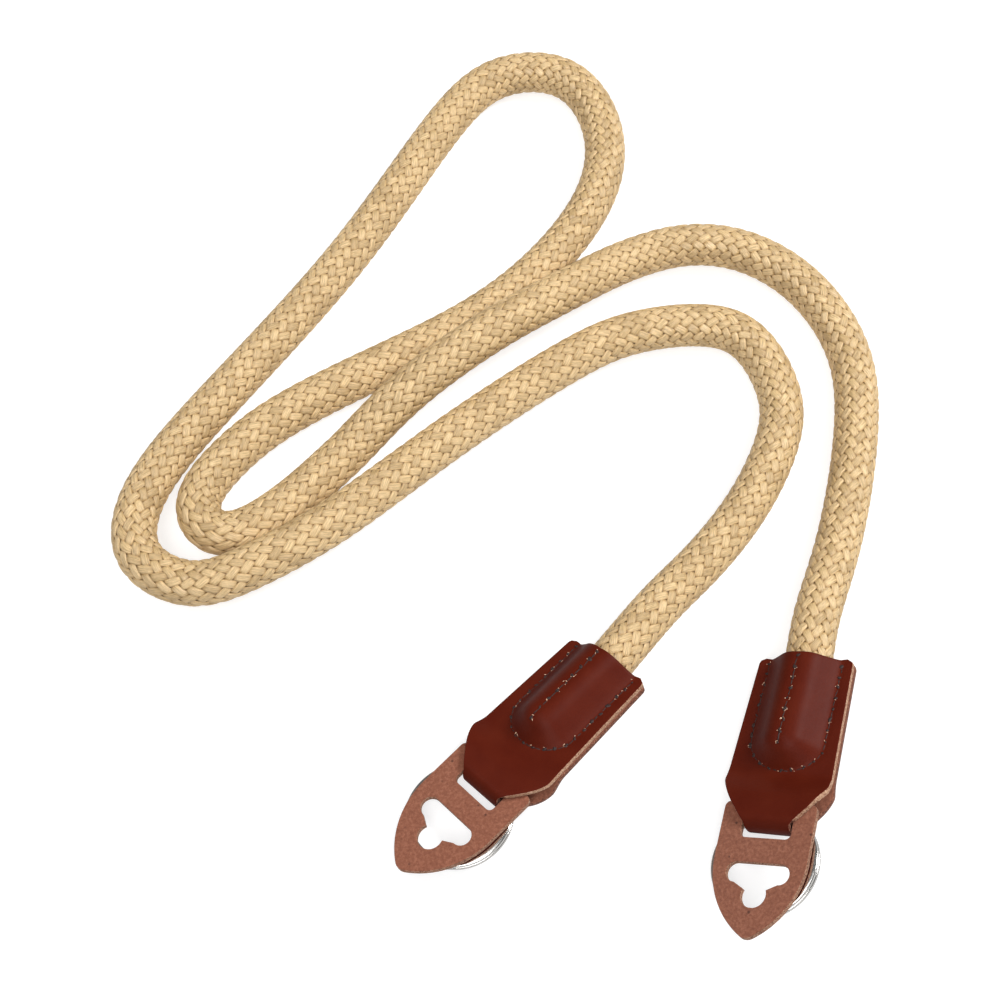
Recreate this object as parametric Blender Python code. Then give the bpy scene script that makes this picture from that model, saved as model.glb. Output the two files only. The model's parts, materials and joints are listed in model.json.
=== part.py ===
"""Camera neck strap lying on a table: one thick braided rope, and at each of its ends a leather cover
folded from one strip, a leaf-shaped leather guard and a split ring that hangs in the fold.

Metres, +Z up, table at Z = 0. Each end has its own frame along a spine: X runs from the fold to the
rope, Y to the end's left side, Z away from the table.
"""

import math

import bpy
import numpy as np
from mathutils import Matrix, Vector

MM = 0.001

# Rope
ROPE_DIAMETER = 10.5 * MM
ROPE_IN_COVER = 19.7 * MM
ROPE_STEP = 28 * MM
ROPE_STEP_TURN = math.radians(26)

# Leather
LEATHER = 1.3 * MM
GUARD_LEATHER = 1.4 * MM
CLEARANCE = 0.3 * MM

# Cover, measured along its spine from the guard slot's lower edge
COVER_LENGTH = 42.2 * MM
COVER_FOLD_END = 1.9 * MM
COVER_MOUTH_WIDTH = 21.6 * MM
COVER_SHOULDER_WIDTH = 23.8 * MM
COVER_SHOULDER = 11.5 * MM
COVER_NECK_WIDTH = 10.5 * MM
COVER_NECK_LENGTH = 2.2 * MM
COVER_FLARE = 1.33
COVER_CORNER = 1.4 * MM
COVER_MOUTH_DIP = 0.85 * MM
COVER_MOUTH_SLANT = 0.55 * MM
COVER_CLOSED = 16.0 * MM
FOLD_DEPTH = 1.8 * MM

# Tunnel for the rope inside the cover
TUNNEL_WIDTH = 15.4 * MM
TUNNEL_DOME = 6.5 * MM
TUNNEL_FILLET = 0.8 * MM

# Leaf-shaped guard
GUARD_WIDTH = 21.2 * MM
GUARD_TOP = 8.0 * MM
GUARD_CORNER = 1.4 * MM
GUARD_STRAIGHT_END = -4.5 * MM
GUARD_SIDE_RADIUS = 20.0 * MM
GUARD_TIP_RADIUS = 2.4 * MM
SLOT_SIDE_CLEARANCE = 0.5 * MM
SLOT_HEIGHT = 4.9 * MM
GUARD_PIVOT = 2.0 * MM
SLOT_CORNER = 1.2 * MM
HOLE_TOP = -5.5 * MM
HOLE_WIDTH = 14.4 * MM
HOLE_BAR_RADIUS = 2.25 * MM
HOLE_LOBE_RADIUS = 2.85 * MM
HOLE_LOBE_CENTRE = -12.45 * MM
HOLE_CUSP_WIDTH = 5.2 * MM

# Split ring of two flat turns
RING_DIAMETER = 24.0 * MM
RING_WIRE_WIDTH = 1.7 * MM
RING_WIRE_HEIGHT = 0.95 * MM
RING_TURN_GAP = 0.1 * MM
RING_CENTRE = -4.6 * MM
RING_STEP_ANGLE = math.radians(40)
RING_EDGE = 0.2 * MM

# Meshes
COVER_ROWS = 17
FOLD_ROWS = 6
COVER_COLUMNS = 18
ARC_POINTS = 8
RING_ROWS = 60
ROPE_BEVEL_RESOLUTION = 3

# The stack inside the fold, from the table up: back layer, ring, guard, front layer
RING_HEIGHT = 2 * RING_WIRE_HEIGHT + RING_TURN_GAP
FOLD_GAP = RING_HEIGHT + GUARD_LEATHER + 3 * CLEARANCE
FOLD_RADIUS = (FOLD_GAP + LEATHER) / 2
FOLD_CENTRE = COVER_FOLD_END + LEATHER / 2 + FOLD_DEPTH
FOLD_RUN = (FOLD_RADIUS + FOLD_DEPTH) / 2 * math.pi / 2
MOUTH_RUN = FOLD_RUN + COVER_LENGTH - FOLD_CENTRE
TUNNEL_START = COVER_CLOSED + TUNNEL_DOME
RING_MIDDLE = -FOLD_GAP / 2 + CLEARANCE + RING_HEIGHT / 2
GUARD_MIDDLE = FOLD_GAP / 2 - CLEARANCE - GUARD_LEATHER / 2
SPINE_STRAIGHT = GUARD_TOP + CLEARANCE
ROPE_HEIGHT = ROPE_DIAMETER / 2
ROPE_HEIGHT_IN_COVER = ROPE_HEIGHT + CLEARANCE + LEATHER

# Where the origin lies, from the middle of the layout
ORIGIN = (28.89 * MM, -71.06 * MM)

# How each end lies: the place and height of its fold, its heading and tilts in degrees, and how far
# the guard is swung on the neck
ENDS = {
    "a": {
        "fold": (-4.6 * MM, -73.95 * MM, 5.1 * MM),
        "heading": 45.6,
        "pitch": 3.8,
        "fold_roll": 13.0,
        "cover_roll": 20.0,
        "swing": -1.1,
    },
    "b": {
        "fold": (57.4 * MM, -84.1 * MM, 7.9 * MM),
        "heading": 73.2,
        "pitch": 0.0,
        "fold_roll": 31.0,
        "cover_roll": 27.5,
        "swing": 1.7,
    },
}

# The rope's route between the covers, in millimetres: X, Y and how far it is lifted off the table
# where it lies against a neighbouring stretch of itself
ROUTE = [
    (36.8, -29.3, 0.9),
    (47.0, -18.3, 0.0),
    (59.6, -1.9, 0.0),
    (68.5, 18.2, 0.0),
    (68.6, 29.5, 0.0),
    (64.5, 40.2, 0.0),
    (56.3, 46.9, 0.0),
    (36.4, 46.0, 0.0),
    (18.2, 37.3, 0.0),
    (-18.1, 9.4, 0.0),
    (-38.5, -8.8, 2.2),
    (-56.9, -20.2, 2.0),
    (-70.3, -22.8, 0.0),
    (-81.7, -16.2, 0.0),
    (-83.1, -1.9, 0.0),
    (-68.9, 23.5, 0.0),
    (-36.6, 70.0, 0.0),
    (-11.7, 114.1, 0.0),
    (2.4, 128.0, 0.0),
    (18.6, 127.3, 0.0),
    (28.4, 109.7, 0.0),
    (24.8, 85.2, 0.0),
    (2.5, 55.9, 0.0),
    (-25.8, 37.0, 0.0),
    (-51.4, 21.3, 0.0),
    (-63.5, 9.6, 0.0),
    (-69.4, -1.6, 0.0),
    (-67.0, -8.4, 0.0),
    (-60.0, -9.8, 0.0),
    (-46.3, -0.3, 0.0),
    (-34.1, 12.8, 0.3),
    (-20.6, 25.6, 5.2),
    (1.0, 43.2, 6.4),
    (16.9, 55.2, 3.8),
    (36.8, 68.6, 0.2),
    (56.9, 71.9, 0.0),
    (74.9, 62.3, 0.0),
    (86.0, 43.1, 0.0),
    (87.0, 20.5, 0.0),
    (79.2, -13.6, 0.0),
    (72.5, -32.3, 1.1),
]


def mix(first, second, share):
    return first + (second - first) * share


def smoothstep(value):
    """0 below 0, 1 above 1, and an S-shaped rise between."""
    value = min(1.0, max(0.0, value))
    return value * value * (3 - 2 * value)


def smooth_max(first, second, blend):
    """The larger of two heights, with a fillet of about the size of blend where they meet."""
    return (first + second + math.hypot(first - second, blend)) / 2


def arc(centre, radius, start, end, count=ARC_POINTS):
    """Points on an arc in the plane, with its angles in degrees."""
    angles = [math.radians(mix(start, end, i / (count - 1))) for i in range(count)]
    return [(centre[0] + radius * math.cos(a), centre[1] + radius * math.sin(a)) for a in angles]


def clear_scene():
    for thing in list(bpy.data.objects):
        bpy.data.objects.remove(thing, do_unlink=True)


def make_material(name, colour, roughness, metallic=0.0):
    material = bpy.data.materials.new(name)
    material.use_nodes = True
    shader = material.node_tree.nodes["Principled BSDF"]
    shader.inputs["Base Color"].default_value = (*colour, 1.0)
    shader.inputs["Roughness"].default_value = roughness
    shader.inputs["Metallic"].default_value = metallic
    return material


def add_object(name, data, material):
    piece = bpy.data.objects.new(name, data)
    bpy.context.scene.collection.objects.link(piece)
    data.materials.append(material)
    return piece


def closed_share(along):
    """0 where the cover's layers lie apart round the guard, and 1 where they lie together."""
    return smoothstep((along - SPINE_STRAIGHT) / (COVER_CLOSED - SPINE_STRAIGHT))


def spine(end, along):
    """The end's frame at a distance along its spine, as a matrix. Past the fold it passes to the
    cover's own tilt and to the rope's height."""
    x, y, z = end["fold"]
    heading = math.radians(end["heading"])
    pitch = math.radians(end["pitch"])
    share = closed_share(along)
    place = (
        x - ORIGIN[0] + along * math.cos(heading),
        y - ORIGIN[1] + along * math.sin(heading),
        mix(z + min(along, SPINE_STRAIGHT) * math.sin(pitch), ROPE_HEIGHT_IN_COVER, share),
    )
    roll = math.radians(mix(end["fold_roll"], end["cover_roll"], share))
    axes = (
        Matrix.Rotation(heading, 4, "Z")
        @ Matrix.Rotation(-mix(pitch, 0.0, share), 4, "Y")
        @ Matrix.Rotation(-roll, 4, "X")
    )
    return Matrix.Translation(place) @ axes


def guard_frame(end):
    """The frame of the guard and ring, which swing on the neck together."""
    pivot = Matrix.Translation((GUARD_PIVOT, 0, 0))
    swing = Matrix.Rotation(math.radians(end["swing"]), 4, "Z")
    return spine(end, 0) @ pivot @ swing @ pivot.inverted()


def cover_half_width(run):
    """Half the strip's width, at a run along the leather from the fold's middle. It stays narrow through
    the guard's slot, flares to the shoulders, and tapers to the mouth's round corners."""
    neck = COVER_NECK_WIDTH / 2
    shoulder = COVER_SHOULDER_WIDTH / 2
    flare = (run - COVER_NECK_LENGTH) / (COVER_SHOULDER - COVER_NECK_LENGTH)
    width = mix(shoulder, neck, (1 - min(1.0, max(0.0, flare))) ** COVER_FLARE)
    taper = max(0.0, run - COVER_SHOULDER) / (MOUTH_RUN - COVER_SHOULDER)
    width = mix(width, COVER_MOUTH_WIDTH / 2, taper)
    into_corner = max(0.0, run - (MOUTH_RUN - COVER_CORNER))
    return width - COVER_CORNER + math.sqrt(max(0.0, COVER_CORNER**2 - into_corner**2))


def mouth_reach(along, side):
    """How far the leather runs ahead of its middle, for a side from -1 at the right edge to 1 at the
    left. The mouth's edge is hollow and slants, and both fade out towards the tunnel's start."""
    share = max(0.0, along - TUNNEL_START) / (COVER_LENGTH - TUNNEL_START)
    return share * (COVER_MOUTH_DIP * side**2 - COVER_MOUTH_SLANT * side)


def tunnel_height(along, across):
    """How far the leather's inner face stands off the middle plane over the rope. The tunnel's section
    is the same along its length, and turned about its start for the round dome."""
    radius = ROPE_DIAMETER / 2 + CLEARANCE
    reach = TUNNEL_WIDTH / 2
    slant = math.asin(radius / reach)
    into_dome = max(0.0, TUNNEL_START - along) * reach / TUNNEL_DOME
    off = math.hypot(into_dome, across)
    if off < radius * math.sin(slant):
        return math.sqrt(radius**2 - off**2)
    return radius * math.cos(slant) - (off - radius * math.sin(slant)) * math.tan(slant)


def layer_offset(along, across):
    """How far the middle of either leather layer lies from the middle plane."""
    gap = mix(FOLD_GAP / 2, CLEARANCE / 2, closed_share(along))
    return smooth_max(tunnel_height(along, across), gap, TUNNEL_FILLET) + LEATHER / 2


def cover_row(end, along, run, offset_of):
    """One row of points across the strip, each lifted off the spine's plane by offset_of(across). Where
    the tilted leather would reach the table, it lies on it."""
    half = cover_half_width(run)
    row = []
    for i in range(COVER_COLUMNS + 1):
        side = 2 * i / COVER_COLUMNS - 1
        frame = spine(end, along + mouth_reach(along, side))
        point = frame @ Vector((0, half * side, offset_of(half * side)))
        point.z = max(point.z, LEATHER / 2)
        row.append(point)
    return row


def cover_rows(end):
    """The strip's rows from the front mouth, round the fold, to the back mouth."""
    shares = [i / COVER_ROWS for i in range(COVER_ROWS + 1)]
    alongs = [mix(COVER_LENGTH, FOLD_CENTRE, share) for share in shares]
    flat = layer_offset(FOLD_CENTRE, COVER_NECK_WIDTH / 2)
    rows = []
    for along in alongs:
        run = FOLD_RUN + along - FOLD_CENTRE
        rows.append(cover_row(end, along, run, lambda v, u=along: layer_offset(u, v)))
    for i in range(1, FOLD_ROWS):
        angle = math.pi * i / FOLD_ROWS
        along = FOLD_CENTRE - FOLD_DEPTH * math.sin(angle)
        run = FOLD_RUN * abs(1 - 2 * i / FOLD_ROWS)
        rows.append(cover_row(end, along, run, lambda v, a=angle: flat * math.cos(a)))
    for along in reversed(alongs):
        run = FOLD_RUN + along - FOLD_CENTRE
        rows.append(cover_row(end, along, run, lambda v, u=along: -layer_offset(u, v)))
    return rows


def make_cover(name, end, material):
    """One leather strip folded in half round the rope's end, as a sheet given its thickness."""
    rows = cover_rows(end)
    width = COVER_COLUMNS + 1
    points = [point for row in rows for point in row]
    faces = []
    for i in range(len(rows) - 1):
        for j in range(COVER_COLUMNS):
            corner = i * width + j
            faces.append((corner, corner + 1, corner + width + 1, corner + width))
    mesh = bpy.data.meshes.new(name)
    mesh.from_pydata(points, [], faces)
    mesh.shade_smooth()
    cover = add_object(name, mesh, material)
    wall = cover.modifiers.new("leather", "SOLIDIFY")
    wall.thickness = LEATHER
    wall.offset = 0.0
    return cover


def mirrored(half):
    """A closed outline from its right half, whose first and last points lie off the axis."""
    return half + [(x, -y) for x, y in reversed(half)]


def guard_outline():
    """A straight-sided top with small round corners, long arcs, and a round tip that meets them."""
    side = GUARD_WIDTH / 2
    corner = (GUARD_TOP - GUARD_CORNER, side - GUARD_CORNER)
    centre = (GUARD_STRAIGHT_END, side - GUARD_SIDE_RADIUS)
    inner = GUARD_SIDE_RADIUS - GUARD_TIP_RADIUS
    reach = math.degrees(math.acos(-centre[1] / inner))
    tip = (centre[0] - math.sqrt(inner**2 - centre[1] ** 2), 0.0)
    half = arc(corner, GUARD_CORNER, 0, 90, 4)
    half += arc(centre, GUARD_SIDE_RADIUS, 90, 90 + reach, ARC_POINTS + 3)
    half += arc(tip, GUARD_TIP_RADIUS, 90 + reach, 170, 4)[1:]
    return mirrored(half)


def slot_outline():
    half_width = COVER_NECK_WIDTH / 2 + SLOT_SIDE_CLEARANCE
    top = (SLOT_HEIGHT - SLOT_CORNER, half_width - SLOT_CORNER)
    low = (SLOT_CORNER, half_width - SLOT_CORNER)
    return mirrored(arc(top, SLOT_CORNER, 0, 90, 4) + arc(low, SLOT_CORNER, 90, 180, 4))


def hole_outline():
    """The three-lobed hole: a wide bar, and below it a round lobe between two cusps."""
    bar = (HOLE_TOP - HOLE_BAR_RADIUS, HOLE_WIDTH / 2 - HOLE_BAR_RADIUS)
    cusp = math.degrees(math.asin(HOLE_CUSP_WIDTH / 2 / HOLE_LOBE_RADIUS))
    half = arc(bar, HOLE_BAR_RADIUS, 0, 180, ARC_POINTS)
    half += arc((HOLE_LOBE_CENTRE, 0), HOLE_LOBE_RADIUS, cusp, 170, ARC_POINTS)
    return mirrored(half)


def make_guard(name, end, material):
    """The flat leather leaf, with its slot and its hole cut through."""
    leaf = bpy.data.curves.new(name, "CURVE")
    leaf.dimensions = "2D"
    leaf.fill_mode = "BOTH"
    leaf.extrude = GUARD_LEATHER / 2
    for outline in (guard_outline(), slot_outline(), hole_outline()):
        spline = leaf.splines.new("POLY")
        spline.points.add(len(outline) - 1)
        for point, (x, y) in zip(spline.points, outline):
            point.co = (x, y, 0, 1)
        spline.use_cyclic_u = True
    guard = add_object(name, leaf, material)
    guard.matrix_world = guard_frame(end) @ Matrix.Translation((0, 0, GUARD_MIDDLE))
    return guard


def make_ring_profile():
    """The wire's section, a flat bar with its corners taken off, as a guide for the sweep."""
    wide = RING_WIRE_WIDTH / 2
    high = RING_WIRE_HEIGHT / 2
    outline = [(wide - RING_EDGE, high), (wide, high - RING_EDGE)]
    outline += [(wide, RING_EDGE - high), (wide - RING_EDGE, -high)]
    outline += [(-x, -y) for x, y in outline]
    curve = bpy.data.curves.new("ring_profile", "CURVE")
    spline = curve.splines.new("POLY")
    spline.points.add(len(outline) - 1)
    for point, (x, y) in zip(spline.points, outline):
        point.co = (x, y, 0, 1)
    spline.use_cyclic_u = True
    guide = bpy.data.objects.new("ring_profile", curve)
    bpy.context.scene.collection.objects.link(guide)
    guide.hide_render = True
    guide.display_type = "WIRE"
    return guide


def make_ring(name, end, profile, material):
    """Two flat turns, one on the other, that change places in a short step."""
    wire = bpy.data.curves.new(name, "CURVE")
    wire.dimensions = "3D"
    wire.twist_mode = "Z_UP"
    wire.bevel_mode = "OBJECT"
    wire.bevel_object = profile
    wire.use_fill_caps = True
    radius = (RING_DIAMETER - RING_WIRE_WIDTH) / 2
    rise = RING_WIRE_HEIGHT + RING_TURN_GAP
    last = 4 * math.pi - RING_STEP_ANGLE - math.radians(4)
    spline = wire.splines.new("POLY")
    spline.points.add(RING_ROWS)
    for i, point in enumerate(spline.points):
        angle = last * i / RING_ROWS
        level = smoothstep((angle - 2 * math.pi + RING_STEP_ANGLE) / RING_STEP_ANGLE) - 0.5
        point.co = (radius * math.cos(angle), radius * math.sin(angle), rise * level, 1)
    ring = add_object(name, wire, material)
    ring.matrix_world = guard_frame(end) @ Matrix.Translation((RING_CENTRE, 0, RING_MIDDLE))
    return ring


def rope_route():
    """The rope's own route points, from inside cover a to inside cover b."""
    inside = [COVER_LENGTH - ROPE_IN_COVER * (1 - share) for share in (0, 0.3, 0.6, 0.8, 1)]
    start = [spine(ENDS["a"], along).translation for along in inside]
    free = [
        Vector((x * MM - ORIGIN[0], y * MM - ORIGIN[1], ROPE_HEIGHT + lift * MM))
        for x, y, lift in ROUTE
    ]
    finish = [spine(ENDS["b"], along).translation for along in reversed(inside)]
    return start + free + finish


def smooth_through(points, count):
    """count points on the natural cubic spline through the given ones."""
    points = np.array([tuple(p) for p in points])
    chords = np.sqrt(np.linalg.norm(np.diff(points, axis=0), axis=1))
    knots = np.concatenate([[0], np.cumsum(chords)])
    size = len(points)
    system = np.eye(size)
    right = np.zeros((size, 3))
    for i in range(1, size - 1):
        system[i, i - 1 : i + 2] = (chords[i - 1], 2 * (chords[i - 1] + chords[i]), chords[i])
        after = (points[i + 1] - points[i]) / chords[i]
        before = (points[i] - points[i - 1]) / chords[i - 1]
        right[i] = 6 * (after - before)
    bends = np.linalg.solve(system, right)
    at = np.linspace(0, knots[-1], count)
    i = np.clip(np.searchsorted(knots, at, side="right") - 1, 0, size - 2)
    h = chords[i][:, None]
    t = (at - knots[i])[:, None]
    slope = (points[i + 1] - points[i]) / h - h * (2 * bends[i] + bends[i + 1]) / 6
    return points[i] + t * (slope + t * (bends[i] / 2 + t * (bends[i + 1] - bends[i]) / (6 * h)))


def rope_points():
    """Points along the smooth route, none below where the rope lies on the table. They are close
    together in the bends and further apart between them."""
    fine = smooth_through(rope_route(), 1200)
    fine[:, 2] = np.maximum(fine[:, 2], ROPE_HEIGHT)
    steps = np.diff(fine, axis=0)
    lengths = np.linalg.norm(steps, axis=1)
    headings = steps / lengths[:, None]
    turns = np.arccos(np.minimum(1.0, np.sum(headings[1:] * headings[:-1], axis=1)))
    run = np.concatenate([[0], np.cumsum(lengths / ROPE_STEP)])
    run[2:] += np.cumsum(turns / ROPE_STEP_TURN)
    wanted = np.linspace(0, run[-1], math.ceil(run[-1]) + 1)
    return fine[np.searchsorted(run, wanted).clip(0, len(fine) - 1)]


def make_rope(material):
    curve = bpy.data.curves.new("rope", "CURVE")
    curve.dimensions = "3D"
    curve.bevel_depth = ROPE_DIAMETER / 2
    curve.bevel_resolution = ROPE_BEVEL_RESOLUTION
    curve.use_fill_caps = True
    points = rope_points()
    spline = curve.splines.new("POLY")
    spline.points.add(len(points) - 1)
    for point, place in zip(spline.points, points):
        point.co = (*place, 1)
    return add_object("rope", curve, material)


def main():
    clear_scene()
    rope_yarn = make_material("rope_yarn", (0.66, 0.46, 0.22), 0.6)
    leather = make_material("leather", (0.12, 0.014, 0.008), 0.4)
    flesh_side = make_material("flesh_side", (0.34, 0.10, 0.045), 0.85)
    nickel = make_material("nickel", (0.8, 0.78, 0.75), 0.2, 1.0)
    make_rope(rope_yarn)
    profile = make_ring_profile()
    for letter, end in ENDS.items():
        make_cover(f"cover_{letter}", end, leather)
        make_guard(f"guard_{letter}", end, flesh_side)
        make_ring(f"ring_{letter}", end, profile, nickel)


main()
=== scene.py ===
import json
import math

import bmesh
import bpy
import numpy as np
from mathutils import Matrix, Vector

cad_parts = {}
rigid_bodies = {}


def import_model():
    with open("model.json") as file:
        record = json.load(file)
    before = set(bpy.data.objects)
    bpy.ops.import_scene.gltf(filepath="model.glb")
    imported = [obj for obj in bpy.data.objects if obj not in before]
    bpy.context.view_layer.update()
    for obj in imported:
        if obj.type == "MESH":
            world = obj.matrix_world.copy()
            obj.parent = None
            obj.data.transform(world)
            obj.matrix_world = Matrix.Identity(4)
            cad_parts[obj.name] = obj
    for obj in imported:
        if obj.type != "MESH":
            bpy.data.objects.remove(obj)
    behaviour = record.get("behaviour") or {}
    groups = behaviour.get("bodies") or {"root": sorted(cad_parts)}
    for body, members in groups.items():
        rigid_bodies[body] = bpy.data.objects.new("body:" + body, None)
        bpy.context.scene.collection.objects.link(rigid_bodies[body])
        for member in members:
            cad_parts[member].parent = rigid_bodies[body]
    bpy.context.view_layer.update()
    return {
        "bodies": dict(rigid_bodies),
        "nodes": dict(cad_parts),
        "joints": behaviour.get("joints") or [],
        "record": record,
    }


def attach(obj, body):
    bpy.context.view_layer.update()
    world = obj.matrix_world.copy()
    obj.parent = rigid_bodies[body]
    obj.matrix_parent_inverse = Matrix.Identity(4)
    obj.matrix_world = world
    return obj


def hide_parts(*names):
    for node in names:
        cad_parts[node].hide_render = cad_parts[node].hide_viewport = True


MM = 0.001

# View of the photograph
LOOK_AT = (-28.89 * MM, 71.06 * MM, 5.25 * MM)
CAMERA_DISTANCE = 403.5 * MM
CAMERA_ELEVATION = math.radians(62)
CAMERA_LENS_MM = 62.4
CAMERA_SENSOR_MM = 36.0
CAMERA_CLIP_START = 10 * MM

# Sizes that the part's source sets. The cover's shoulder and neck length are runs along the leather from
# the fold's middle, and its other lengths lie along its spine, from the guard slot's lower edge.
ROPE_DIAMETER = 10.5 * MM
ROPE_IN_COVER = 19.7 * MM
LEATHER = 1.3 * MM
GUARD_LEATHER = 1.4 * MM
CLEARANCE = 0.3 * MM
COVER_LENGTH = 42.2 * MM
COVER_FOLD_END = 1.9 * MM
COVER_MOUTH_WIDTH = 21.6 * MM
COVER_SHOULDER_WIDTH = 23.8 * MM
COVER_SHOULDER = 11.5 * MM
COVER_NECK_WIDTH = 10.5 * MM
COVER_NECK_LENGTH = 2.2 * MM
COVER_FLARE = 1.33
COVER_CORNER = 1.4 * MM
COVER_MOUTH_DIP = 0.85 * MM
COVER_MOUTH_SLANT = 0.55 * MM
COVER_CLOSED = 16.0 * MM
FOLD_DEPTH = 1.8 * MM
TUNNEL_WIDTH = 15.4 * MM
TUNNEL_DOME = 6.5 * MM
TUNNEL_FILLET = 0.8 * MM
GUARD_WIDTH = 21.2 * MM
GUARD_TOP = 8.0 * MM
GUARD_CORNER = 1.4 * MM
GUARD_STRAIGHT_END = -4.5 * MM
GUARD_SIDE_RADIUS = 20.0 * MM
GUARD_TIP_RADIUS = 2.4 * MM
SLOT_SIDE_CLEARANCE = 0.5 * MM
SLOT_HEIGHT = 4.9 * MM
SLOT_CORNER = 1.2 * MM
GUARD_PIVOT = 2.0 * MM
HOLE_TOP = -5.5 * MM
HOLE_WIDTH = 14.4 * MM
HOLE_BAR_RADIUS = 2.25 * MM
HOLE_LOBE_RADIUS = 2.85 * MM
HOLE_LOBE_CENTRE = -12.45 * MM
HOLE_CUSP_WIDTH = 5.2 * MM
RING_DIAMETER = 24.0 * MM
RING_WIRE_WIDTH = 1.7 * MM
RING_WIRE_HEIGHT = 0.95 * MM
RING_TURN_GAP = 0.1 * MM
RING_CENTRE = -4.6 * MM
RING_STEP_ANGLE = math.radians(40)

RING_HEIGHT = 2 * RING_WIRE_HEIGHT + RING_TURN_GAP
FOLD_GAP = RING_HEIGHT + GUARD_LEATHER + 3 * CLEARANCE
FOLD_RADIUS = (FOLD_GAP + LEATHER) / 2
FOLD_CENTRE = COVER_FOLD_END + LEATHER / 2 + FOLD_DEPTH
FOLD_RUN = (FOLD_RADIUS + FOLD_DEPTH) / 2 * math.pi / 2
MOUTH_RUN = FOLD_RUN + COVER_LENGTH - FOLD_CENTRE
TUNNEL_START = COVER_CLOSED + TUNNEL_DOME
RING_MIDDLE = -FOLD_GAP / 2 + CLEARANCE + RING_HEIGHT / 2
GUARD_MIDDLE = FOLD_GAP / 2 - CLEARANCE - GUARD_LEATHER / 2
SPINE_STRAIGHT = GUARD_TOP + CLEARANCE
ROPE_HEIGHT = ROPE_DIAMETER / 2
ROPE_HEIGHT_IN_COVER = ROPE_HEIGHT + CLEARANCE + LEATHER

ORIGIN = (28.89 * MM, -71.06 * MM)
ENDS = {
    "a": {
        "fold": (-4.6 * MM, -73.95 * MM, 5.1 * MM),
        "heading": 45.6,
        "pitch": 3.8,
        "fold_roll": 13.0,
        "cover_roll": 20.0,
        "swing": -1.1,
    },
    "b": {
        "fold": (57.4 * MM, -84.1 * MM, 7.9 * MM),
        "heading": 73.2,
        "pitch": 0.0,
        "fold_roll": 31.0,
        "cover_roll": 27.5,
        "swing": 1.7,
    },
}

# Where the rope's route points lie inside a cover, as shares of the way from its end to the mouth
ROPE_IN_COVER_SHARES = (0, 0.3, 0.6, 0.8, 1)

# The rope's route, in millimetres as in the part's source: X, Y and the lift off the table
ROUTE = [
    (36.8, -29.3, 0.9),
    (47.0, -18.3, 0.0),
    (59.6, -1.9, 0.0),
    (68.5, 18.2, 0.0),
    (68.6, 29.5, 0.0),
    (64.5, 40.2, 0.0),
    (56.3, 46.9, 0.0),
    (36.4, 46.0, 0.0),
    (18.2, 37.3, 0.0),
    (-18.1, 9.4, 0.0),
    (-38.5, -8.8, 2.2),
    (-56.9, -20.2, 2.0),
    (-70.3, -22.8, 0.0),
    (-81.7, -16.2, 0.0),
    (-83.1, -1.9, 0.0),
    (-68.9, 23.5, 0.0),
    (-36.6, 70.0, 0.0),
    (-11.7, 114.1, 0.0),
    (2.4, 128.0, 0.0),
    (18.6, 127.3, 0.0),
    (28.4, 109.7, 0.0),
    (24.8, 85.2, 0.0),
    (2.5, 55.9, 0.0),
    (-25.8, 37.0, 0.0),
    (-51.4, 21.3, 0.0),
    (-63.5, 9.6, 0.0),
    (-69.4, -1.6, 0.0),
    (-67.0, -8.4, 0.0),
    (-60.0, -9.8, 0.0),
    (-46.3, -0.3, 0.0),
    (-34.1, 12.8, 0.3),
    (-20.6, 25.6, 5.2),
    (1.0, 43.2, 6.4),
    (16.9, 55.2, 3.8),
    (36.8, 68.6, 0.2),
    (56.9, 71.9, 0.0),
    (74.9, 62.3, 0.0),
    (86.0, 43.1, 0.0),
    (87.0, 20.5, 0.0),
    (79.2, -13.6, 0.0),
    (72.5, -32.3, 1.1),
]

# The braid: yarns that pass over two and under two, so that each float lies in a column along the rope
BRAID_COLUMNS = 16
BRAID_REPEAT = 3.3 * MM
BRAID_PIECES = 4
BRAID_FIRST_REPEAT = 0.75
BRAID_SEED = 7
CORE_RADIUS = 4.72 * MM
FLOAT_RADIUS = 5.03 * MM
FLOAT_LENGTH = 4.0 * MM
FLOAT_WIDTH = 1.98 * MM
FLOAT_YARNS = 4

# A float's form: the height of its crown and how far its ends are tucked in, how its crown runs along it
# and falls to its ends, how round it is sideways, its yarns' ridges, its steep sides and its narrower ends
FLOAT_CROWN = 0.52 * MM
FLOAT_TUCK = 0.28 * MM
CROWN_POWER = 3.4
CROWN_END_POWER = 0.8
CROWN_ROUND = 0.12
YARN_RIDGE = 0.10
SIDE_DROP = 0.5
SIDE_POWER = 8
FLOAT_TAPER = 0.05

# The covers' sewing: a U-shaped row round the tunnel and a straight row along its middle
STITCH_PITCH = 2.45 * MM
SEAM_WIDTH = 16.8 * MM
SEAM_BOTTOM = 16.2 * MM
SEAM_ARC_LENGTH = 6.8 * MM
MIDDLE_SEAM_END = 20.5 * MM
SEAM_START = 41.0 * MM
SEAM_SINK = 0.2 * MM
SEAM_SINK_WIDTH = 0.7 * MM
THREAD_WIDTH = 0.42 * MM
THREAD_HEIGHT = 0.8 * THREAD_WIDTH
STITCH_DEPTH = 0.06 * MM
KNOT_HEIGHT = 0.5 * MM
FLECK_HEIGHT = 0.16 * MM
FLECK_LIFT = 0.05 * MM

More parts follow.
